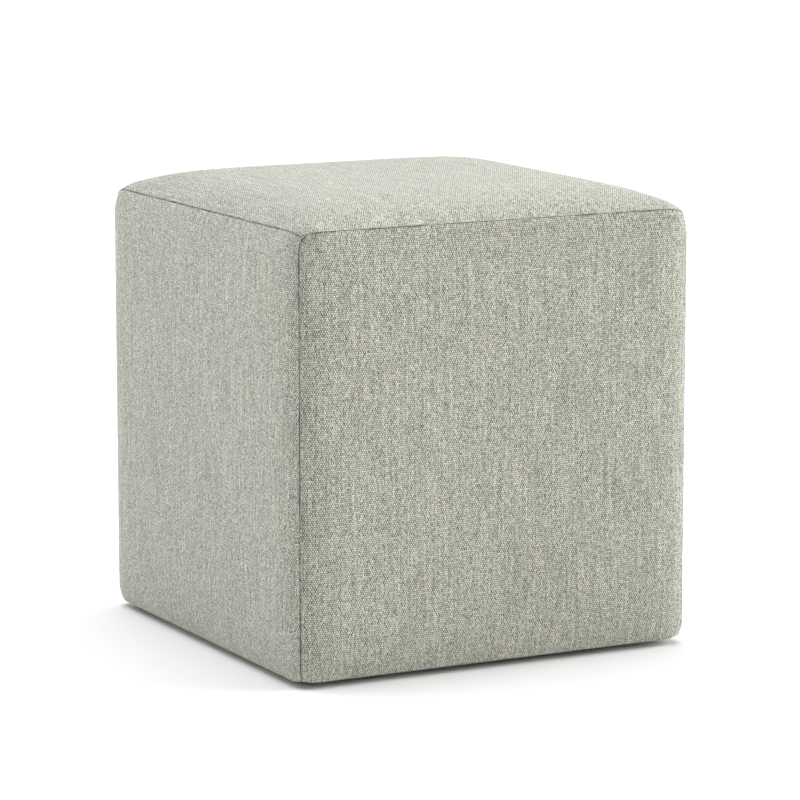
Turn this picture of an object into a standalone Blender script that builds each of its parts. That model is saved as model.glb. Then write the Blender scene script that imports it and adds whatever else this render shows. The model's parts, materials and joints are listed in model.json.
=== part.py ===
"""Cube pouf stool: a boxed cloth cover over a firm filling, on four low glides.

Metres, +Z up, +Y to the back. The origin is on the floor under the middle of the stool.
The cover is five panels. Each swells from a square of seams, which draw the cloth in along
the edges and most of all at the corners. A panel's solid carries the share of the filling
behind it: a mitred wedge behind each side panel, and a crowned cap under the top panel.
"""

import math

import bmesh
import bpy
from mathutils import Matrix, Vector

# The seams: four upright ones at the corners of a square, and one round the top of it.
SEAM_SQUARE = 0.411
SEAM_HEIGHT = 0.423
SEAM_GAP = 0.0003

# How far the filling swells each panel past its seams, and how squarely it does so.
SIDE_PUFF = 0.0085
SIDE_FULLNESS = 22
SIDE_CROWN = 0.001
TOP_PUFF = 0.0225
TOP_FULLNESS = 7.5
PANEL_CELLS = 20

# How far the corners are drawn in towards the middle, and how far round them that reaches.
TOP_TUCK = 0.006
TOP_TUCK_REACH = 0.018
LOW_TUCK = 0.003
LOW_TUCK_REACH = 0.014

# The underside, from the cover's lower edge down to the floor.
COVER_LIFT = 0.0055
BASE_CLOTH_THICKNESS = 0.0012
BASE_CLOTH_INSET = 0.014
BASE_CLOTH_CORNER = 0.012
GLIDE_RADIUS = 0.013
GLIDE_INSET = 0.040
GLIDE_SIDES = 24
GLIDE_EASING = 0.001

HALF_SQUARE = SEAM_SQUARE / 2
BASE_CLOTH_TOP = COVER_LIFT - SEAM_GAP
GLIDE_HEIGHT = BASE_CLOTH_TOP - BASE_CLOTH_THICKNESS - SEAM_GAP

# name, base colour, roughness
CLOTH = ("melange_cloth", (0.46, 0.46, 0.395), 0.92)
BASE = ("base_cloth", (0.022, 0.022, 0.024), 0.95)
PLASTIC = ("glide_plastic", (0.035, 0.035, 0.037), 0.45)


def clear_scene():
    for obj in list(bpy.data.objects):
        bpy.data.objects.remove(obj)


def material(name, colour, roughness):
    """The material of that name, made the first time it is asked for."""
    made = bpy.data.materials.get(name)
    if made is None:
        made = bpy.data.materials.new(name)
        made.use_nodes = True
        shader = made.node_tree.nodes["Principled BSDF"]
        shader.inputs["Base Color"].default_value = (*colour, 1.0)
        shader.inputs["Roughness"].default_value = roughness
        shader.inputs["Metallic"].default_value = 0.0
    return made


def add_object(name, mesh, finish, turn=0.0):
    obj = bpy.data.objects.new(name, mesh)
    obj.rotation_euler.z = turn
    if not mesh.materials:
        mesh.materials.append(material(*finish))
    bpy.context.scene.collection.objects.link(obj)
    return obj


def finished_mesh(name, bm, smooth_angle=40):
    """Turns all faces outwards and shades the round parts smooth."""
    bmesh.ops.recalc_face_normals(bm, faces=bm.faces)
    mesh = bpy.data.meshes.new(name)
    bm.to_mesh(mesh)
    bm.free()
    mesh.shade_smooth()
    mesh.set_sharp_from_angle(angle=math.radians(smooth_angle))
    return mesh


def panel_grid():
    """A square grid from -1 to 1 whose lines crowd towards its edges, where a panel curves most."""
    bm = bmesh.new()
    bmesh.ops.create_grid(bm, x_segments=PANEL_CELLS, y_segments=PANEL_CELLS, size=1)
    for vert in bm.verts:
        vert.co.x = math.sin(vert.co.x * math.pi / 2)
        vert.co.y = math.sin(vert.co.y * math.pi / 2)
    return bm


def swell(along, fullness):
    """0 at a seam and 1 well inside it. A fuller panel rises more steeply from its seam."""
    return 1 - min(abs(along), 1) ** fullness


def side_swell(across, up):
    """How far a side panel stands out from its seams, at -1 to 1 across and up the panel."""
    puff = SIDE_PUFF * swell(across, SIDE_FULLNESS) * swell(up, SIDE_FULLNESS)
    return puff + SIDE_CROWN * swell(across, 2) * swell(up, 2)


def tuck_corners(bm):
    """Draws the points near each corner of the cover in towards the stool's middle."""
    levels = (
        (SEAM_HEIGHT, -1, TOP_TUCK, TOP_TUCK_REACH),
        (COVER_LIFT, 1, LOW_TUCK, LOW_TUCK_REACH),
    )
    for vert in bm.verts:
        move = Vector()
        for side_x, side_y in ((-1, -1), (1, -1), (1, 1), (-1, 1)):
            for height, inwards, tuck, reach in levels:
                corner = Vector((side_x * HALF_SQUARE, side_y * HALF_SQUARE, height))
                nearness = math.exp(-((vert.co - corner).length / reach) ** 2)
                move += tuck * nearness * Vector((-side_x, -side_y, inwards)).normalized()
        vert.co += move


def close_behind(bm, meet):
    """Carries the rim of a panel's face in to a middle line or point, which closes its solid."""
    rim = [edge for edge in bm.edges if edge.is_boundary]
    walls = bmesh.ops.extrude_edge_only(bm, edges=rim)["geom"]
    for vert in (item for item in walls if isinstance(item, bmesh.types.BMVert)):
        vert.co = meet(vert.co)
    bmesh.ops.remove_doubles(bm, verts=bm.verts, dist=1e-6)


def side_panel_mesh():
    """The front panel: its swollen face, and behind it a wedge of filling mitred to the middle."""
    bottom = COVER_LIFT
    top = SEAM_HEIGHT - SEAM_GAP / 2
    mitre_gap = SEAM_GAP / 2 * math.sqrt(2)
    half_width = HALF_SQUARE - mitre_gap
    bm = panel_grid()
    for vert in bm.verts:
        across, up = vert.co.x, vert.co.y
        vert.co = Vector((
            across * half_width,
            -HALF_SQUARE - side_swell(across, up),
            bottom + (top - bottom) * (up + 1) / 2,
        ))
    close_behind(bm, lambda point: Vector((0, -mitre_gap, point.z)))
    tuck_corners(bm)
    return finished_mesh("side_panel", bm)


def top_panel_mesh():
    """The crowned square of the top, flat underneath at the height of its seam."""
    bottom = SEAM_HEIGHT + SEAM_GAP / 2
    bm = panel_grid()
    for vert in bm.verts:
        across, along = vert.co.x, vert.co.y
        rise = TOP_PUFF * swell(across, TOP_FULLNESS) * swell(along, TOP_FULLNESS)
        vert.co = Vector((
            across * HALF_SQUARE,
            along * HALF_SQUARE,
            bottom + rise,
        ))
    close_behind(bm, lambda point: Vector((0, 0, bottom)))
    tuck_corners(bm)
    return finished_mesh("top_panel", bm)


def base_cloth_mesh():
    """A thin square with rounded corners, lying against the underside."""
    size = SEAM_SQUARE - 2 * BASE_CLOTH_INSET
    middle = BASE_CLOTH_TOP - BASE_CLOTH_THICKNESS / 2
    place = Matrix.Translation((0, 0, middle)) @ Matrix.Diagonal((size, size, BASE_CLOTH_THICKNESS, 1))
    bm = bmesh.new()
    bmesh.ops.create_cube(bm, size=1, matrix=place)
    uprights = [edge for edge in bm.edges if abs(edge.verts[0].co.z - edge.verts[1].co.z) > 1e-6]
    bmesh.ops.bevel(
        bm, geom=uprights, offset=BASE_CLOTH_CORNER, segments=5, profile=0.5, affect="EDGES", material=-1
    )
    return finished_mesh("base_cloth", bm)


def glide_mesh():
    """A low disc with its rims eased, standing on its flat face."""
    bm = bmesh.new()
    bmesh.ops.create_cone(
        bm,
        cap_ends=True,
        segments=GLIDE_SIDES,
        radius1=GLIDE_RADIUS,
        radius2=GLIDE_RADIUS,
        depth=GLIDE_HEIGHT,
        matrix=Matrix.Translation((0, 0, GLIDE_HEIGHT / 2)),
    )
    rims = [edge for edge in bm.edges if abs(edge.verts[0].co.z - edge.verts[1].co.z) < 1e-6]
    bmesh.ops.bevel(
        bm, geom=rims, offset=GLIDE_EASING, segments=2, profile=0.5, affect="EDGES", material=-1
    )
    return finished_mesh("glide", bm, smooth_angle=50)


def build():
    clear_scene()

    side = side_panel_mesh()
    for quarter, name in enumerate(("front_panel", "right_panel", "back_panel", "left_panel")):
        add_object(name, side, CLOTH, turn=quarter * math.pi / 2)
    add_object("top_panel", top_panel_mesh(), CLOTH)

    add_object("base_cloth", base_cloth_mesh(), BASE)
    glide = glide_mesh()
    reach = HALF_SQUARE - GLIDE_INSET
    for row, y in (("front", -reach), ("back", reach)):
        for hand, x in (("left", -reach), ("right", reach)):
            obj = add_object(f"glide_{row}_{hand}", glide, PLASTIC)
            obj.location = (x, y, 0)


build()
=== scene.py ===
import json
import math

import bmesh
import bpy
from mathutils import Matrix, Vector, noise

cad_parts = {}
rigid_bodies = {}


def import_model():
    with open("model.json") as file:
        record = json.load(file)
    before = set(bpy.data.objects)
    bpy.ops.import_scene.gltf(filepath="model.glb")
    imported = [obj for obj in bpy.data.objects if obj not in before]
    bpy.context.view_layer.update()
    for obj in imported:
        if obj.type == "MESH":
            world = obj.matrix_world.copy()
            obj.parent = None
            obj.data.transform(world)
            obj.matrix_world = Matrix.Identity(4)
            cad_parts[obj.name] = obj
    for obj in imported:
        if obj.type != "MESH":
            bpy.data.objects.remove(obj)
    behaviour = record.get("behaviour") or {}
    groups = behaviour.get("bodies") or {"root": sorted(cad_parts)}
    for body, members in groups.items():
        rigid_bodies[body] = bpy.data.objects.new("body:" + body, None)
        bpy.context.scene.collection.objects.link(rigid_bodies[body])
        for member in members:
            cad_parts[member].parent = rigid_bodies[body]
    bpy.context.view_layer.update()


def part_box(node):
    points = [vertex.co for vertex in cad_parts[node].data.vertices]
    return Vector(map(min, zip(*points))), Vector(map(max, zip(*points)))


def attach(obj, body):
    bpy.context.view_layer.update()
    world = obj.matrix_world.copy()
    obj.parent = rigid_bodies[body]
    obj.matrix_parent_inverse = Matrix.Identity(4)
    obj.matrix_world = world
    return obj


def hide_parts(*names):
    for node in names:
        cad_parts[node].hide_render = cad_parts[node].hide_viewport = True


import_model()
scene = bpy.context.scene


# ---- Cover, drawn over its filling ------------------------------------------------------------
# The cover is sewn inside out from a top and four sides, then pulled over a block of foam that
# is a little too big for it. The seams stay where they are sewn and the cloth swells between
# them. Its lower edge is turned under the block.

SEAM_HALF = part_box("top_panel")[1][0]
STOOL_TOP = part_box("top_panel")[1][2]
COVER_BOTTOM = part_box("front_panel")[0][2]
SIDE_RISE = -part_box("front_panel")[0][1] - SEAM_HALF
TOP_RISE = 0.0225
SEAM_HEIGHT = STOOL_TOP - TOP_RISE
SIDE_SQUARENESS = 14.5
TOP_SQUARENESS = 7.4

# The foam pushes the cloth out from where it was cut. The cloth may move only so far, and is
# held to the foam, more firmly near the foam's edges.
FOAM_SWELL = 0.0008
MOST_SWELL = 0.0010
FOAM_HOLD = 0.20
EDGE_HOLD = 0.70
EDGE_HOLD_REACH = 0.035
CLOTH_SLACK = 0.001
LAST_FRAME = 20

# How far the corners are drawn in, at the top seam and at the lower edge.
TOP_TUCK, TOP_TUCK_REACH = 0.0048, 0.012
LOW_TUCK, LOW_TUCK_REACH = 0.0036, 0.009

GRID_CELLS = 80
GRID_CROWDING = 0.7

PUCKER_DEPTH = 0.00035
PUCKER_REACH = 0.009
PUCKER_WIDTH = 0.007
PUCKER_START = 0.002
PUCKER_LENGTH = PUCKER_REACH * 4
SEAM_STEP = 7.3

# Where a corner has pulled a panel's cloth crooked: each fold's two ends, its depth and width.
CREASES = (
    ("front", Vector((-0.1970, -0.21, 0.4205)), Vector((-0.2028, -0.21, 0.4160)), 0.0019, 0.0009),
    ("front", Vector((-0.1940, -0.21, 0.4182)), Vector((-0.1890, -0.21, 0.4180)), 0.0009, 0.0008),
    ("front", Vector((0.1960, -0.21, 0.4200)), Vector((0.1850, -0.21, 0.4110)), 0.0007, 0.0022),
    ("right", Vector((0.21, 0.1980, 0.4200)), Vector((0.21, 0.1900, 0.4120)), 0.0009, 0.0018),
    ("back", Vector((-0.1980, 0.21, 0.4200)), Vector((-0.1900, 0.21, 0.4130)), 0.0009, 0.0018),
)

DEEPEST_FOLD = 0.0016

PANELS = {
    "top": Vector((0, 0, 1)),
    "front": Vector((0, -1, 0)),
    "right": Vector((1, 0, 0)),
    "back": Vector((0, 1, 0)),
    "left": Vector((-1, 0, 0)),
    "underside": Vector((0, 0, -1)),
}
PANEL_NUMBERS = {name: number for number, name in enumerate(PANELS)}
PANEL_NAMES = list(PANELS)


def swell(along, squareness):
    """0 at a seam and 1 well inside it."""
    return 1 - min(abs(along), 1) ** squareness


def fullness(across, along, squareness):
    """0 at the seams of a panel and 1 in its middle. It rises steeply in the corners too."""
    first, second = swell(across, squareness), swell(along, squareness)
    return first * second / max(first + second - first * second, 1e-9)


def crowd(along):
    """Moves grid lines from the middle of a panel towards its seams."""
    return along + GRID_CROWDING * math.sin(math.pi * along) / math.pi


def tuck(point):
    """Draws a point near a corner of the cover in towards the middle of the stool."""
    moved = point.copy()
    for side_x, side_y in ((-1, -1), (1, -1), (1, 1), (-1, 1)):
        for height, inwards, depth, reach in (
            (SEAM_HEIGHT, -1, TOP_TUCK, TOP_TUCK_REACH),
            (COVER_BOTTOM, 1, LOW_TUCK, LOW_TUCK_REACH),
        ):
            corner = Vector((side_x * SEAM_HALF, side_y * SEAM_HALF, height))
            nearness = math.exp(-((point - corner).length / reach) ** 2)
            moved += depth * nearness * Vector((-side_x, -side_y, inwards)).normalized()
    return moved


def over_filling(unit, panel, foam):
    """Where a point of a cube of side 2 lies on the cover, foam farther out than it was cut."""
    point = Vector((
        unit.x * SEAM_HALF,
        unit.y * SEAM_HALF,
        COVER_BOTTOM + (SEAM_HEIGHT - COVER_BOTTOM) * (unit.z + 1) / 2,
    ))
    if panel == "top":
        point.z += (TOP_RISE + foam) * fullness(unit.x, unit.y, TOP_SQUARENESS)
    elif panel != "underside":
        across = unit.x if PANELS[panel].x == 0 else unit.y
        point += PANELS[panel] * (SIDE_RISE + foam) * fullness(across, unit.z, SIDE_SQUARENESS)
    return tuck(point)


def cloth_run(squareness, rise, half):
    """A function from -1 to 1 across a panel to the length of cloth out from its middle."""
    steps = 800
    runs = [0.0]
    for step in range(steps):
        near, far = step / steps, (step + 1) / steps
        lift = rise * (swell(far, squareness) - swell(near, squareness))
        runs.append(runs[-1] + math.hypot((far - near) * half, lift))
    return lambda along: math.copysign(runs[round(abs(along) * steps)], along)


side_run = cloth_run(SIDE_SQUARENESS, SIDE_RISE, SEAM_HALF)
upright_run = cloth_run(SIDE_SQUARENESS, SIDE_RISE, (SEAM_HEIGHT - COVER_BOTTOM) / 2)
top_run = cloth_run(TOP_SQUARENESS, TOP_RISE, SEAM_HALF)

bm = bmesh.new()
bmesh.ops.create_cube(bm, size=2)
bmesh.ops.subdivide_edges(bm, edges=bm.edges, cuts=GRID_CELLS - 1, use_grid_fill=True)
bm.normal_update()
flat_cloth = bm.loops.layers.uv.new("cloth")
for face in bm.faces:
    name = max(PANELS, key=lambda panel: PANELS[panel].dot(face.normal))
    face.material_index = PANEL_NUMBERS[name]
    for loop in face.loops:
        unit = loop.vert.co
        across = crowd(unit.y if PANELS[name].x else unit.x)
        if PANELS[name].z:
            loop[flat_cloth].uv = (top_run(across), top_run(crowd(unit.y)))
        else:
            loop[flat_cloth].uv = (side_run(across), upright_run(crowd(unit.z)))

# The seams are held, and so is the lower edge. The foam's edges hold the cloth beside them
# more firmly than its middles do.
held = []
for vert in bm.verts:
    numbers = {face.material_index for face in vert.link_faces}
    name = PANEL_NAMES[min(numbers)]
    unit = Vector((crowd(vert.co.x), crowd(vert.co.y), crowd(vert.co.z)))
    vert.co = over_filling(unit, name, -FOAM_SWELL)
    if len(numbers) > 1 or PANEL_NUMBERS["underside"] in numbers:
        held.append(1.0)
    else:
        from_seam = SEAM_HALF * (1 - sorted(abs(part) for part in unit)[1])
        held.append(FOAM_HOLD + (EDGE_HOLD - FOAM_HOLD) * math.exp(-from_seam / EDGE_HOLD_REACH))
cover_mesh = bpy.data.meshes.new("cover")
bm.to_mesh(cover_mesh)
bm.free()
cover = bpy.data.objects.new("cover", cover_mesh)
scene.collection.objects.link(cover)


def press_out(shell):
    """Lets the pressure of the filling swell the cloth between its seams."""
    hold = shell.vertex_groups.new(name="hold")
    for number, firmness in enumerate(held):
        hold.add([number], firmness, "REPLACE")
    start = [vert.co.copy() for vert in shell.data.vertices]
    cloth = shell.modifiers.new("filling", "CLOTH")
    cloth.settings.quality = 6
    cloth.settings.mass = 0.4
    cloth.settings.tension_stiffness = 30
    cloth.settings.compression_stiffness = 30
    cloth.settings.shear_stiffness = 15
    cloth.settings.bending_stiffness = 1.0
    cloth.settings.shrink_min = -CLOTH_SLACK
    cloth.settings.vertex_group_mass = "hold"
    cloth.settings.pin_stiffness = 1.0
    cloth.settings.use_pressure = True
    cloth.settings.uniform_pressure_force = 9
    cloth.settings.effector_weights.gravity = 0
    cloth.collision_settings.use_collision = False
    for step in range(1, LAST_FRAME + 1):
        scene.frame_set(step)
    swollen = shell.evaluated_get(bpy.context.evaluated_depsgraph_get()).data
    for vert, before, after in zip(shell.data.vertices, start, swollen.vertices):
        move = after.co - before
        if move.length > MOST_SWELL:
            move *= MOST_SWELL / move.length
        vert.co = before + move
    shell.modifiers.remove(cloth)
    scene.frame_set(1)


press_out(cover)

# The cloth is gathered by its stitches into small puckers along each seam, which die away
# towards the middle of the panel.
finer = cover.modifiers.new("finer", "SUBSURF")
finer.levels = finer.render_levels = 1
graph = bpy.context.evaluated_depsgraph_get()
sewn_mesh = bpy.data.meshes.new_from_object(cover.evaluated_get(graph))
bpy.data.objects.remove(cover)

sewn = bmesh.new()
sewn.from_mesh(sewn_mesh)
sewn.normal_update()
seam_out = sewn.verts.layers.float_vector.new("seam_out")
cloth_at = sewn.verts.layers.float_vector.new("cloth_at")
# How deep each point lies in a seam or fold, which the cloth's material reads to paint shade
# there.
painted_shade_depth = sewn.verts.layers.float.new("painted_shade_depth")
flat_cloth = sewn.loops.layers.uv["cloth"]
for vert in sewn.verts:
    vert[seam_out] = vert.normal
for face in sewn.faces:
    for loop in face.loops:
        loop.vert[cloth_at] = (*loop[flat_cloth].uv, 0.0)


def cloth_ends(name):
    """How far the cloth of a panel runs from its middle, across and along."""
    return (top_run(1.0), top_run(1.0)) if name == "top" else (side_run(1.0), upright_run(1.0))


def pucker(along, from_seam, seam):
    """How far a pucker lifts the cloth, this far along a seam and this far from it."""
    place = Vector((along / PUCKER_WIDTH, from_seam / PUCKER_LENGTH, SEAM_STEP * seam))
    ridge = noise.noise(place)
    fade = math.exp(-from_seam / PUCKER_REACH) * (1 - math.exp(-from_seam / PUCKER_START))
    return PUCKER_DEPTH * 2 * ridge * fade


def crease(point, name):
    """How far a panel's cloth folds in at a point, where a top corner has pulled it crooked."""
    depth = 0.0
    for panel, start, end, fold, width in CREASES:
        if panel == name:
            along = end - start
            share = min(max((point - start).dot(along) / along.length_squared, 0), 1)
            off = point - start - along * share
            off -= PANELS[name] * off.dot(PANELS[name])
            fade = math.sin(math.pi * (0.25 + 0.5 * share))
            depth += fold * math.exp(-(off.length / width) ** 2) * fade
    return depth


for vert in sewn.verts:
    numbers = {face.material_index for face in vert.link_faces}
    if len(numbers) == 1 and PANEL_NUMBERS["underside"] not in numbers:
        number = min(numbers)
        folded = crease(vert.co, PANEL_NAMES[number])
        vert.co -= Vector(vert[seam_out]) * folded
        # The fold's depth is kept for the painted shade at its bottom.
        vert[painted_shade_depth] = min(folded / DEEPEST_FOLD, 1)
        across, along, _ = vert[cloth_at]
        ends = cloth_ends(PANEL_NAMES[number])
        lift = pucker(along, ends[0] - abs(across), number * 4 + (across > 0))
        lift += pucker(across, ends[1] - abs(along), number * 4 + 2 + (along > 0))
        vert.co += Vector(vert[seam_out]) * lift


# ---- Top panel and four side panels ------------------------------------------------------------
# Each is one square of heavy plain-weave cloth in a light grey-beige melange, with its share of
# the foam behind it. Its edges are sewn to its neighbours' and turn in at the seams, and the
# lower edge of a side turns under.

SEAM_GAP = 0.0004
SEAM_ROLL = 0.00065
SEAM_DEPTH = 0.0026
SAME_PLACE = 1e-5
ROLL_TURNS = (0, 30, 60, 90)
HEM_REACHES = (0.0, 0.0012, 0.0035, 0.0090, 0.0200)
SEAM_WOBBLE = 0.75
SEAM_WOBBLE_SIZE = 0.010
MITRE_GAP = SEAM_GAP / 2 * math.sqrt(2)
MIDDLE_LOW = COVER_BOTTOM
MIDDLE_HIGH = SEAM_HEIGHT - SEAM_DEPTH * 0.8
TOP_MIDDLE = SEAM_HEIGHT - SEAM_DEPTH * 0.5
CLOTH_WARP, CLOTH_WEFT = 0.00112, 0.00197
CUT_APART = Vector((0.613, 0.271))
LAYOUT_MIDDLE, LAYOUT_HALF = Vector((0.5, 0.54)), Vector((0.48, 0.45))
STRIP_LOW, STRIP_HEIGHT = 0.01, 0.04
STRIP_MARGIN = 0.1

# Each step of a turned edge: how far from the seam, how far into it, how far under the hem,
# and the length of cloth so far.
turned_edge = [
    (SEAM_GAP / 2 + SEAM_ROLL * (1 - math.sin(math.radians(turn))),
     SEAM_ROLL * (1 - math.cos(math.radians(turn))),
     under,
     SEAM_ROLL * math.radians(turn) - SEAM_ROLL - SEAM_GAP / 2)
    for turn, under in zip(ROLL_TURNS, HEM_REACHES)
]
turned_edge.append((SEAM_GAP / 2, SEAM_DEPTH, HEM_REACHES[-1], SEAM_DEPTH))


def rim_of(bm, name):
    """For each vertex of a panel's rim: its place on the seam and in the cloth, the directions
    away from the seam, into it and under the hem, and the way that the cloth runs out there."""
    at, out = bm.verts.layers.float_vector["cloth_at"], bm.verts.layers.float_vector["seam_out"]
    beside = {}
    ends = cloth_ends(name)
    for edge in bm.edges:
        if not edge.is_boundary:
            continue
        first, second = edge.verts
        along = (second.co - first.co).normalized()
        inside = edge.link_faces[0].calc_center_median() - (first.co + second.co) / 2
        inside = (inside - along * inside.dot(along)).normalized()
        hem = name != "top" and max(vert[at].y for vert in edge.verts) < SAME_PLACE - ends[1]
        for vert in edge.verts:
            beside.setdefault(vert, []).append((inside, hem))
    rim = {}
    for vert, sides in beside.items():
        seams = [inside for inside, hem in sides if not hem]
        runs = Vector((0, 0, 0))
        if abs(vert[at].x) > ends[0] - SAME_PLACE:
            runs.x = math.copysign(1, vert[at].x)
        if abs(vert[at].y) > ends[1] - SAME_PLACE:
            runs.y = math.copysign(1, vert[at].y)
        if len(seams) == 2:
            away = (seams[0] + seams[1]).normalized()
            away /= max(away.dot(seams[0]), 0.5)
            into, under = -vert[out], Vector()
        elif len(seams) == 1:
            sideways = PANELS[name].cross(Vector((0, 0, 1)))
            away = -sideways * math.copysign(1, vert.co.dot(sideways))
            into = Vector((-vert.co.x, -vert.co.y, 0)).normalized()
            under = away - PANELS[name]
        else:
            away, into, under = Vector(), Vector(), -PANELS[name]
        rim[vert] = (vert.co.copy(), vert[at].copy(), away, into, under, runs)
    return rim


def grow_rim(bm, rim):
    """Extrudes a panel's open edge and returns what rim_of said, for the new vertices."""
    grown = bmesh.ops.extrude_edge_only(bm, edges=[edge for edge in bm.edges if edge.is_boundary])
    followed = {}
    for part in grown["geom"]:
        if isinstance(part, bmesh.types.BMVert):
            ends = [edge.other_vert(part) for edge in part.link_edges]
            followed[part] = rim[next(end for end in ends if end in rim)]
    return followed


def cut_panel(name):
    """One panel with its edges turned in and its filling closed behind it."""
    bm = sewn.copy()
    others = [face for face in bm.faces if face.material_index != PANEL_NUMBERS[name]]
    bmesh.ops.delete(bm, geom=others, context="FACES")
    at = bm.verts.layers.float_vector["cloth_at"]
    painted_shade_depth = bm.verts.layers.float["painted_shade_depth"]
    rim = rim_of(bm, name)
    for step, (spread, depth, under, length) in enumerate(turned_edge):
        if step:
            rim = grow_rim(bm, rim)
        for vert, (place, cloth_place, away, into, hem, runs) in rim.items():
            wobble = 1 + SEAM_WOBBLE * noise.noise(place / SEAM_WOBBLE_SIZE)
            vert.co = place + away * spread * wobble + into * depth * wobble + hem * under
            hemmed = name != "top" and runs.y < 0
            out = Vector((runs.x * length, runs.y * (under if hemmed else length), 0))
            vert[at] = cloth_place + out
            # How far into the seam this step lies is kept for the painted shade in the seam.
            vert[painted_shade_depth] = step / (len(turned_edge) - 1) if away.length else 0.0
    visible = len(bm.faces)

    rim = grow_rim(bm, rim)
    half = cloth_ends(name)[1]
    for vert, (place, cloth_place, away, into, hem, runs) in rim.items():
        share = (cloth_place.y + half) / (2 * half)
        middle = PANELS[name] * MITRE_GAP
        middle.z = TOP_MIDDLE if name == "top" else MIDDLE_LOW + (MIDDLE_HIGH - MIDDLE_LOW) * share
        vert.co = middle
    bmesh.ops.remove_doubles(bm, verts=list(rim), dist=SAME_PLACE)
    bmesh.ops.recalc_face_normals(bm, faces=bm.faces)

    # The pattern lies on the flat cloth, which each panel is cut from in another place. A second
    # layout fits in one square: the cloth above, and the filling's faces side by side below it.
    cut_from = CUT_APART * (PANEL_NUMBERS[name] + 1)
    flat, whole = bm.loops.layers.uv["cloth"], bm.loops.layers.uv.new("OFBake")
    furthest = max(max(abs(vert[at].x), abs(vert[at].y)) for vert in bm.verts)
    bm.faces.ensure_lookup_table()
    for face in bm.faces:
        face.material_index = 0
        face.smooth = face.index < visible
        for loop in face.loops:
            place = loop.vert[at]
            loop[flat].uv = place.xy + cut_from
            loop[whole].uv = LAYOUT_MIDDLE + LAYOUT_HALF * place.xy / furthest
    behind = bm.faces[visible:]
    for number, face in enumerate(behind):
        for loop, (right, up) in zip(face.loops, ((0, 0), (1, 0), (1, 1), (0, 1))):
            side = STRIP_MARGIN + (1 - 2 * STRIP_MARGIN) * right
            loop[whole].uv = ((number + side) / len(behind), STRIP_LOW + STRIP_HEIGHT * up)
    mesh = bpy.data.meshes.new(name)
    bm.to_mesh(mesh)
    bm.free()
    return mesh


def node(tree, kind, settings=None, **inputs):
    """Adds a node. Its inputs are sockets to join or plain values, with _ for a space."""
    made = tree.nodes.new(kind)
    for name, value in (settings or {}).items():
        setattr(made, name, value)
    for name, value in inputs.items():
        key = int(name[1:]) if name[0] == "i" and name[1:].isdigit() else name.replace("_", " ")
        if isinstance(value, bpy.types.NodeSocket):
            tree.links.new(value, made.inputs[key])
        else:
            made.inputs[key].default_value = value
    return made


def sums(tree, operation, *values):
    """A Math node's result."""
    inputs = {f"i{number}": value for number, value in enumerate(values)}
    return node(tree, "ShaderNodeMath", {"operation": operation}, **inputs).outputs[0]


def new_group(name, inputs, outputs):
    """An empty node group. inputs and outputs are names with their socket types and defaults."""
    group = bpy.data.node_groups.new(name, "ShaderNodeTree")
    for label, kind, default in inputs:
        socket = group.interface.new_socket(label, in_out="INPUT", socket_type=kind)
        if default is not None:
            socket.default_value = default
    for label, kind in outputs:
        group.interface.new_socket(label, in_out="OUTPUT", socket_type=kind)
    given = group.nodes.new("NodeGroupInput").outputs
    result = group.nodes.new("NodeGroupOutput").inputs
    return group, given, result


def new_material(name):
    material = bpy.data.materials.new(name)
    material.use_nodes = True
    tree = material.node_tree
    tree.nodes.clear()
    shader = tree.nodes.new("ShaderNodeBsdfPrincipled")
    output = tree.nodes.new("ShaderNodeOutputMaterial")
    tree.links.new(shader.outputs[0], output.inputs["Surface"])
    return material, tree, shader


def round_yarn(tree, across):
    """The height of a round yarn, 1 in its middle and 0 at its sides, from -0.5 to 0.5 across."""
    side = sums(tree, "MULTIPLY", across, 2)
    square = sums(tree, "MULTIPLY", side, side)
    return sums(tree, "SQRT", sums(tree, "MAXIMUM", sums(tree, "SUBTRACT", 1, square), 0))


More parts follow.
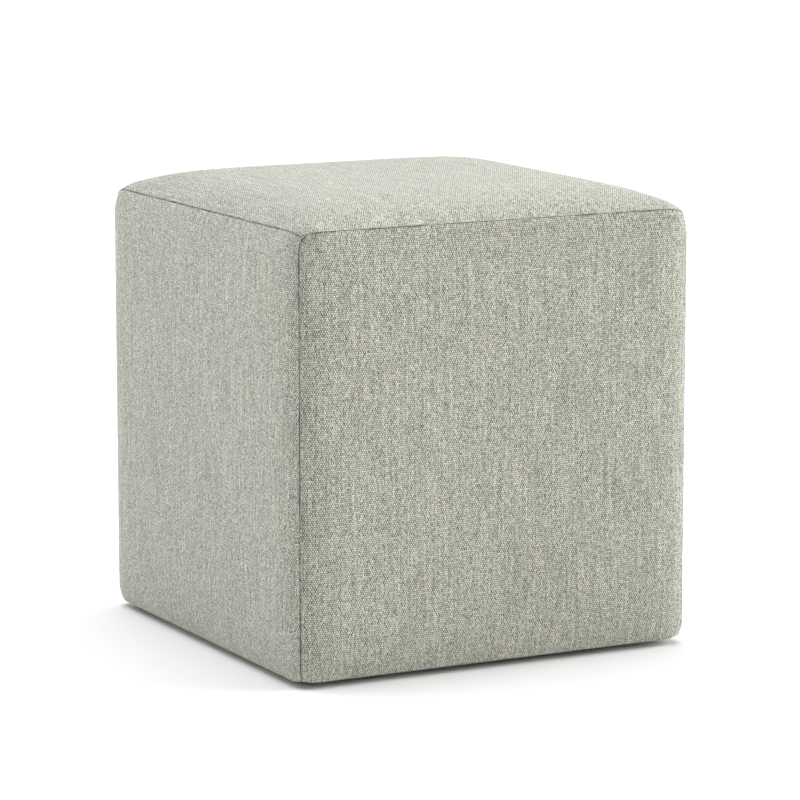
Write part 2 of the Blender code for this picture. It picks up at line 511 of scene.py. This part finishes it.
def plain_weave():
    """Cloth of one warp over one weft: how high each point is, how light its yarn is spun, and
    how far the two yarns' own tones go."""
    group, given, result = new_group(
        "plain weave",
        [("Cloth", "NodeSocketVector", None), ("Warp Pitch", "NodeSocketFloat", CLOTH_WARP),
         ("Weft Pitch", "NodeSocketFloat", CLOTH_WEFT), ("Wander", "NodeSocketFloat", 0.14),
         ("Clumps", "NodeSocketFloat", 0.71), ("Warp Lightness", "NodeSocketFloat", 0.42),
         ("Row Shade", "NodeSocketFloat", 0.45)],
        [("Height", "NodeSocketFloat"), ("Spun Tone", "NodeSocketFloat"),
         ("Streak", "NodeSocketFloat"), ("Gap Shade", "NodeSocketFloat")],
    )
    place = node(group, "ShaderNodeSeparateXYZ", Vector=given["Cloth"]).outputs
    stray = node(group, "ShaderNodeTexNoise", {"noise_dimensions": "2D"},
                 Vector=given["Cloth"], Scale=170, Detail=1).outputs["Color"]
    stray = node(group, "ShaderNodeSeparateColor", Color=stray).outputs
    steps, parts, numbers = [], [], []
    for axis, pitch in ((0, "Warp Pitch"), (1, "Weft Pitch")):
        step = sums(group, "DIVIDE", place[axis], given[pitch])
        drift = sums(group, "MULTIPLY", sums(group, "SUBTRACT", stray[axis], 0.5), given["Wander"])
        step = sums(group, "ADD", step, sums(group, "MULTIPLY", drift, 4))
        number = sums(group, "FLOOR", step)
        steps.append(step)
        numbers.append(number)
        parts.append(sums(group, "SUBTRACT", sums(group, "SUBTRACT", step, number), 0.5))
    warp_phase = sums(group, "ADD", sums(group, "SUBTRACT", steps[1], 0.5), numbers[0])
    weft_phase = sums(group, "ADD", sums(group, "SUBTRACT", steps[0], 0.5), numbers[1])
    warp_wave = sums(group, "COSINE", sums(group, "MULTIPLY", warp_phase, math.pi))
    weft_wave = sums(group, "COSINE", sums(group, "MULTIPLY", weft_phase, math.pi))
    warp_high = sums(group, "MULTIPLY_ADD", warp_wave, 0.5, round_yarn(group, parts[0]))
    weft_high = sums(group, "MULTIPLY_ADD", weft_wave, -0.5, round_yarn(group, parts[1]))
    warp_above = sums(group, "GREATER_THAN", warp_high, weft_high)
    height = sums(group, "MAXIMUM", warp_high, weft_high)

    # Each yarn is spun from light and dark fibre in clumps, so every crossing has its own tone.
    warp_clump = node(group, "ShaderNodeCombineXYZ", X=numbers[0],
                      Y=sums(group, "FLOOR", sums(group, "ADD", steps[1], 0.5)), Z=3.0).outputs[0]
    weft_clump = node(group, "ShaderNodeCombineXYZ", Y=numbers[1],
                      X=sums(group, "FLOOR", sums(group, "ADD", steps[0], 0.5)), Z=8.0).outputs[0]
    clump = node(group, "ShaderNodeMix", {"data_type": "VECTOR"})
    group.links.new(warp_above, clump.inputs["Factor"])
    group.links.new(weft_clump, clump.inputs[4])
    group.links.new(warp_clump, clump.inputs[5])
    tone = node(group, "ShaderNodeTexWhiteNoise", {"noise_dimensions": "3D"},
                Vector=clump.outputs[1]).outputs["Value"]
    fibre = node(group, "ShaderNodeTexNoise", {"noise_dimensions": "2D"},
                 Vector=given["Cloth"], Scale=2600, Detail=2).outputs[0]
    tone = sums(group, "MULTIPLY_ADD", sums(group, "SUBTRACT", fibre, 0.5), 0.5, tone)
    centred = sums(group, "SUBTRACT", tone, 0.5)
    tone = sums(group, "MULTIPLY_ADD", centred, given["Clumps"], 0.5)
    lean = sums(group, "SUBTRACT", warp_above, 0.5)
    tone = sums(group, "MULTIPLY_ADD", lean, given["Warp Lightness"], tone)

    # A slub in a warp yarn shows as a faint upright streak.
    along = node(group, "ShaderNodeCombineXYZ", X=sums(group, "MULTIPLY", numbers[0], 0.55),
                 Y=sums(group, "MULTIPLY", place[1], 11)).outputs[0]
    streak = node(group, "ShaderNodeTexNoise", {"noise_dimensions": "2D"},
                  Vector=along, Scale=1, Detail=2, Roughness=0.75).outputs[0]
    # Painted shade: the cloth is darkened where the yarns dip low and in the gaps between the
    # wefts, standing in for the shade that falls there.
    low = node(group, "ShaderNodeMapRange", i0=height, i1=0.35, i2=1.35, i3=0.0, i4=1.0)
    row_shade = sums(group, "MULTIPLY_ADD", round_yarn(group, parts[1]), given["Row Shade"],
                sums(group, "SUBTRACT", 1, given["Row Shade"]))
    gap_shade = sums(group, "MULTIPLY", low.outputs[0], row_shade)
    group.links.new(height, result["Height"])
    group.links.new(tone, result["Spun Tone"])
    group.links.new(streak, result["Streak"])
    group.links.new(gap_shade, result["Gap Shade"])
    return group


def melange_cloth():
    """Undyed and grey fibre spun together: cream, grey-beige and dark grey-olive flecks."""
    material, tree, shader = new_material("melange cloth")
    cloth = node(tree, "ShaderNodeUVMap", {"uv_map": "cloth"}).outputs[0]
    weave = node(tree, "ShaderNodeGroup", {"node_tree": plain_weave()}, Cloth=cloth).outputs
    ramp = node(tree, "ShaderNodeValToRGB", Fac=weave["Spun Tone"])
    stops = ramp.color_ramp.elements
    stops[0].position, stops[0].color = 0.0, (0.085, 0.083, 0.055, 1)
    stops[1].position, stops[1].color = 1.0, (0.742, 0.738, 0.642, 1)
    for position, colour in ((0.22, (0.256, 0.254, 0.196, 1)), (0.60, (0.601, 0.598, 0.514, 1))):
        stop = stops.new(position)
        stop.color = colour
    slub = sums(tree, "MULTIPLY_ADD", sums(tree, "SUBTRACT", weave["Streak"], 0.5), 0.80, 1.0)
    # The slub streak is the yarn's own tone; the gap factor that multiplies it is painted shade.
    shade = sums(tree, "MULTIPLY", slub, sums(tree, "MULTIPLY_ADD", weave["Gap Shade"], 1.03, 0.19))
    toned = node(tree, "ShaderNodeVectorMath", {"operation": "SCALE"},
                 i0=ramp.outputs[0], Scale=shade).outputs[0]
    patch = node(tree, "ShaderNodeTexNoise", {"noise_dimensions": "2D"},
                 Vector=cloth, Scale=140, Detail=1).outputs[0]
    tint = node(tree, "ShaderNodeMix", {"data_type": "RGBA"}, Factor=patch)
    tint.inputs[6].default_value = (0.995, 0.999, 1.007, 1)
    tint.inputs[7].default_value = (1.005, 1.001, 0.993, 1)
    tinted = node(tree, "ShaderNodeVectorMath", {"operation": "MULTIPLY"},
                  i0=toned, i1=tint.outputs[2]).outputs[0]
    # Painted shade: the cloth is darkened where it lies deep in a seam or at the bottom of a fold,
    # standing in for the shade that falls there.
    painted_shade_depth = node(tree, "ShaderNodeAttribute", {"attribute_name": "painted_shade_depth"}).outputs["Fac"]
    painted_seam_shade = node(tree, "ShaderNodeMapRange", i0=painted_shade_depth, i1=0.1, i2=0.7, i3=1.0, i4=0.55).outputs[0]
    shaded = node(tree, "ShaderNodeVectorMath", {"operation": "SCALE"}, i0=tinted, Scale=painted_seam_shade)
    tree.links.new(shaded.outputs[0], shader.inputs["Base Color"])
    bump = node(tree, "ShaderNodeBump", Height=weave["Height"], Strength=0.5, Distance=0.00035)
    tree.links.new(bump.outputs[0], shader.inputs["Normal"])
    shader.inputs["Roughness"].default_value = 0.92
    shader.inputs["Specular IOR Level"].default_value = 0.15
    shader.inputs["Sheen Weight"].default_value = 0.22
    shader.inputs["Sheen Roughness"].default_value = 0.5
    return material


cloth_material = melange_cloth()
for name in ("top", "front", "right", "back", "left"):
    panel = bpy.data.objects.new(f"sewn_{name}_panel", cut_panel(name))
    panel.data.materials.append(cloth_material)
    scene.collection.objects.link(panel)
    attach(panel, "root")
    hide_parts(f"{name}_panel")


# ---- Seam stitches -----------------------------------------------------------------------------
# A machine has sewn the eight seams from inside with a strong polyester thread. The pull of the
# filling opens each seam a little, so a short length of thread shows across it at each stitch.

STITCH_PITCH = 0.0040
STITCH_DEPTH = 0.00050
STITCH_LENGTH = 0.0011
THREAD_RADIUS = 0.00022
STITCH_SLANT = 0.35


def seam_line(first, second):
    """The vertices that two panels share, in order, with the way out of the seam at each."""
    numbers = {PANEL_NUMBERS[first], PANEL_NUMBERS[second]}
    shared = [v for v in sewn.verts if numbers <= {face.material_index for face in v.link_faces}]
    upright = "top" not in (first, second)
    along = 2 if upright else (1 if PANELS[second].x else 0)
    shared.sort(key=lambda vert: vert.co[along])
    return [(vert.co.copy(), Vector(vert[seam_out]).normalized()) for vert in shared]


def sew(bm, line):
    """Adds stitches to bm at even steps along a seam."""
    walked, following = 0.0, STITCH_PITCH * 1.5
    whole = sum((there[0] - here[0]).length for here, there in zip(line, line[1:]))
    for (here, out_here), (there, out_there) in zip(line, line[1:]):
        length = (there - here).length
        while walked + length > following and following < whole - STITCH_PITCH:
            share = (following - walked) / length
            out = out_here.lerp(out_there, share).normalized()
            along = (there - here).normalized()
            across = (out.cross(along) + along * STITCH_SLANT).normalized()
            turn = Matrix((across, out.cross(across), out)).transposed().to_4x4()
            middle = here.lerp(there, share) - out * STITCH_DEPTH
            stitch = one_stitch.copy()
            stitch.transform(Matrix.Translation(middle) @ turn)
            bm.from_mesh(stitch)
            bpy.data.meshes.remove(stitch)
            following += STITCH_PITCH
        walked += length


bm = bmesh.new()
thread_size = Matrix.Diagonal((STITCH_LENGTH / 2, THREAD_RADIUS, THREAD_RADIUS, 1))
bmesh.ops.create_uvsphere(bm, u_segments=8, v_segments=6, radius=1, matrix=thread_size)
one_stitch = bpy.data.meshes.new("one_stitch")
bm.to_mesh(one_stitch)
bm.free()

stitches_bm = bmesh.new()
around = ("front", "right", "back", "left")
for name, neighbour in zip(around, around[1:] + around[:1]):
    sew(stitches_bm, seam_line("top", name))
    sew(stitches_bm, seam_line(name, neighbour))
for face in stitches_bm.faces:
    face.smooth = True
stitches_mesh = bpy.data.meshes.new("seam_stitches")
stitches_bm.to_mesh(stitches_mesh)
stitches_bm.free()
bpy.data.meshes.remove(one_stitch)
sewn.free()

thread_material, tree, shader = new_material("sewing thread")
spin = node(tree, "ShaderNodeTexNoise", Vector=node(tree, "ShaderNodeTexCoord").outputs["Object"],
            Scale=4000, Detail=1).outputs[0]
thread_ramp = node(tree, "ShaderNodeValToRGB", Fac=spin)
thread_ramp.color_ramp.elements[0].color = (0.270, 0.268, 0.225, 1)
thread_ramp.color_ramp.elements[1].color = (0.480, 0.476, 0.410, 1)
tree.links.new(thread_ramp.outputs[0], shader.inputs["Base Color"])
twist = node(tree, "ShaderNodeBump", Height=spin, Strength=0.5, Distance=0.0001)
tree.links.new(twist.outputs[0], shader.inputs["Normal"])
shader.inputs["Roughness"].default_value = 0.6

stitches = bpy.data.objects.new("seam_stitches", stitches_mesh)
stitches.data.materials.append(thread_material)
scene.collection.objects.link(stitches)
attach(stitches, "root")


# ---- Base cloth --------------------------------------------------------------------------------
# A square of thin black non-woven cloth hides the turned edge of the cover from below. It is
# pulled tight and fixed over the cover's lower edge, so it sags only a little in its middle.

base_low, base_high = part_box("base_cloth")
BASE_HALF = base_high[0]
BASE_TOP = base_high[2]
BASE_THICKNESS = base_high[2] - base_low[2]
BASE_CORNER = 0.012
BASE_SHEET = 0.0010
BASE_CELLS = 72
BASE_RIPPLE = 0.00018
BASE_WAVES = ((22, 1.0, 4.0), (60, 0.5, 9.0))
BASE_SAG = 0.0003


def base_corner(point):
    """Brings the corner of a square grid in to a round corner."""
    inner = BASE_HALF - BASE_CORNER
    beyond = Vector((max(abs(point.x) - inner, 0), max(abs(point.y) - inner, 0)))
    if beyond.x > 0 and beyond.y > 0:
        beyond *= max(beyond) / beyond.length
        point.x = math.copysign(inner + beyond.x, point.x)
        point.y = math.copysign(inner + beyond.y, point.y)


bm = bmesh.new()
bmesh.ops.create_grid(
    bm, x_segments=BASE_CELLS, y_segments=BASE_CELLS, size=BASE_HALF, calc_uvs=True
)
for vert in bm.verts:
    base_corner(vert.co)
    inside = (1 - (vert.co.x / BASE_HALF) ** 2) * (1 - (vert.co.y / BASE_HALF) ** 2)
    ripple = sum(
        share * noise.noise(Vector((vert.co.x * waves, vert.co.y * waves, level)))
        for waves, share, level in BASE_WAVES
    )
    edge_ripple = 0.2 + 0.8 * min(inside * 4, 1)
    vert.co.z = BASE_TOP - BASE_SAG * inside - BASE_RIPPLE * abs(ripple) * edge_ripple
bmesh.ops.recalc_face_normals(bm, faces=bm.faces)
base_mesh = bpy.data.meshes.new("base_cloth_sheet")
bm.to_mesh(base_mesh)
bm.free()
base_sheet = bpy.data.objects.new("stretched_base_cloth", base_mesh)
for polygon in base_mesh.polygons:
    polygon.use_smooth = True
scene.collection.objects.link(base_sheet)
thickness = base_sheet.modifiers.new("thickness", "SOLIDIFY")
thickness.thickness = BASE_SHEET
thickness.offset = -1

base_material, tree, shader = new_material("base cloth")
place = node(tree, "ShaderNodeTexCoord").outputs["Object"]
dimples = node(tree, "ShaderNodeTexVoronoi", {"voronoi_dimensions": "2D", "distance": "CHEBYCHEV"},
               Vector=place, Scale=900, Randomness=0.15).outputs["Distance"]
fibres = node(tree, "ShaderNodeTexNoise", Vector=place, Scale=1500, Detail=4).outputs[0]
cloudy = node(tree, "ShaderNodeTexNoise", Vector=place, Scale=60, Detail=2).outputs[0]
base_ramp = node(tree, "ShaderNodeValToRGB",
                 Fac=sums(tree, "MULTIPLY_ADD", sums(tree, "SUBTRACT", cloudy, 0.5), 0.6, fibres))
base_ramp.color_ramp.elements[0].color = (0.012, 0.012, 0.013, 1)
base_ramp.color_ramp.elements[1].color = (0.040, 0.040, 0.043, 1)
tree.links.new(base_ramp.outputs[0], shader.inputs["Base Color"])
base_height = sums(tree, "MULTIPLY_ADD", fibres, 0.4, dimples)
base_bump = node(tree, "ShaderNodeBump", Height=base_height, Strength=0.6, Distance=0.0002)
tree.links.new(base_bump.outputs[0], shader.inputs["Normal"])
shader.inputs["Roughness"].default_value = 0.85
base_sheet.data.materials.append(base_material)
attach(base_sheet, "root")
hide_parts("base_cloth")


# ---- Glides ------------------------------------------------------------------------------------
# Four low discs of moulded black plastic are nailed up through the base cloth near its corners
# and keep the cover's lower edge clear of the floor.

glide_material, tree, shader = new_material("glide plastic")
place = node(tree, "ShaderNodeTexCoord").outputs["Object"]
mould = node(tree, "ShaderNodeTexNoise", Vector=place, Scale=2200, Detail=3).outputs[0]
scuff = node(tree, "ShaderNodeTexNoise", Vector=place, Scale=260, Detail=4).outputs[0]
glide_ramp = node(tree, "ShaderNodeValToRGB", Fac=scuff)
glide_ramp.color_ramp.elements[0].color = (0.026, 0.026, 0.028, 1)
glide_ramp.color_ramp.elements[1].color = (0.050, 0.050, 0.052, 1)
tree.links.new(glide_ramp.outputs[0], shader.inputs["Base Color"])
tree.links.new(sums(tree, "MULTIPLY_ADD", scuff, 0.35, 0.30), shader.inputs["Roughness"])
glide_bump = node(tree, "ShaderNodeBump", Height=mould, Strength=0.4, Distance=0.0001)
tree.links.new(glide_bump.outputs[0], shader.inputs["Normal"])
for name in ("glide_front_left", "glide_front_right", "glide_back_left", "glide_back_right"):
    glide = bpy.data.objects[name]
    for slot in glide.material_slots:
        slot.material = glide_material


# ---- Floor, light and camera -------------------------------------------------------------------
# The stool stands on a plain white floor between two large soft lights, with a third overhead.
# The camera stands a little above the seat, on the side that the lights leave darker.

FLOOR_HALF = 40
bm = bmesh.new()
bmesh.ops.create_grid(bm, x_segments=1, y_segments=1, size=FLOOR_HALF)
floor_mesh = bpy.data.meshes.new("floor")
bm.to_mesh(floor_mesh)
bm.free()
floor = bpy.data.objects.new("floor", floor_mesh)
floor_material, tree, shader = new_material("white floor")
shader.inputs["Base Color"].default_value = (0.965, 0.965, 0.960, 1)
shader.inputs["Roughness"].default_value = 0.9
shader.inputs["Specular IOR Level"].default_value = 0.1
floor.data.materials.append(floor_material)
scene.collection.objects.link(floor)

# Each light's direction and width in degrees, then its strength and colour.
LIGHTS = (
    ("light_left", -150, 14, 60, 2.04, (1.0, 1.0, 1.0)),
    ("light_right", 76, 13, 56, 4.50, (1.0, 1.0, 1.0)),
    ("light_above", 180, 80, 60, 2.85, (0.980, 0.995, 1.030)),
)
for name, azimuth, height, spread, strength, colour in LIGHTS:
    light = bpy.data.objects.new(name, bpy.data.lights.new(name, "SUN"))
    light.data.energy = strength
    light.data.color = colour
    light.data.angle = math.radians(spread)
    turned, raised = math.radians(azimuth), math.radians(height)
    towards = Vector((
        math.sin(turned) * math.cos(raised), -math.cos(turned) * math.cos(raised), math.sin(raised)
    ))
    light.matrix_world = towards.to_track_quat("Z", "Y").to_matrix().to_4x4()
    scene.collection.objects.link(light)

world = bpy.data.worlds.new("studio")
scene.world = world
world.use_nodes = True
tree = world.node_tree
tree.nodes.clear()
seen = node(tree, "ShaderNodeBackground", Color=(0.985, 1.0, 0.99, 1), Strength=1.0)
lit = node(tree, "ShaderNodeBackground", Color=(1.0, 1.0, 1.0, 1), Strength=0.05)
to_camera = node(tree, "ShaderNodeLightPath").outputs["Is Camera Ray"]
chosen = node(tree, "ShaderNodeMixShader", i0=to_camera, i1=lit.outputs[0], i2=seen.outputs[0])
tree.links.new(chosen.outputs[0], node(tree, "ShaderNodeOutputWorld").inputs["Surface"])
scene.view_settings.view_transform = "Standard"

VIEW_AZIMUTH, VIEW_ELEVATION = math.radians(-27.78), math.radians(9.72)
VIEW_DISTANCE = 3.834
VIEW_AIM = Vector((0.0054, -0.0012, 0.2234))
VIEW_LENS = 176.2
camera = bpy.data.objects.new("camera", bpy.data.cameras.new("camera"))
camera.data.lens = VIEW_LENS
camera.data.sensor_width = 36.0
camera.data.clip_end = 200.0
towards_viewer = Vector((
    math.sin(VIEW_AZIMUTH) * math.cos(VIEW_ELEVATION),
    -math.cos(VIEW_AZIMUTH) * math.cos(VIEW_ELEVATION),
    math.sin(VIEW_ELEVATION),
))
view_turn = towards_viewer.to_track_quat("Z", "Y").to_matrix().to_4x4()
camera.matrix_world = Matrix.Translation(VIEW_AIM + towards_viewer * VIEW_DISTANCE) @ view_turn
scene.collection.objects.link(camera)
scene.camera = camera
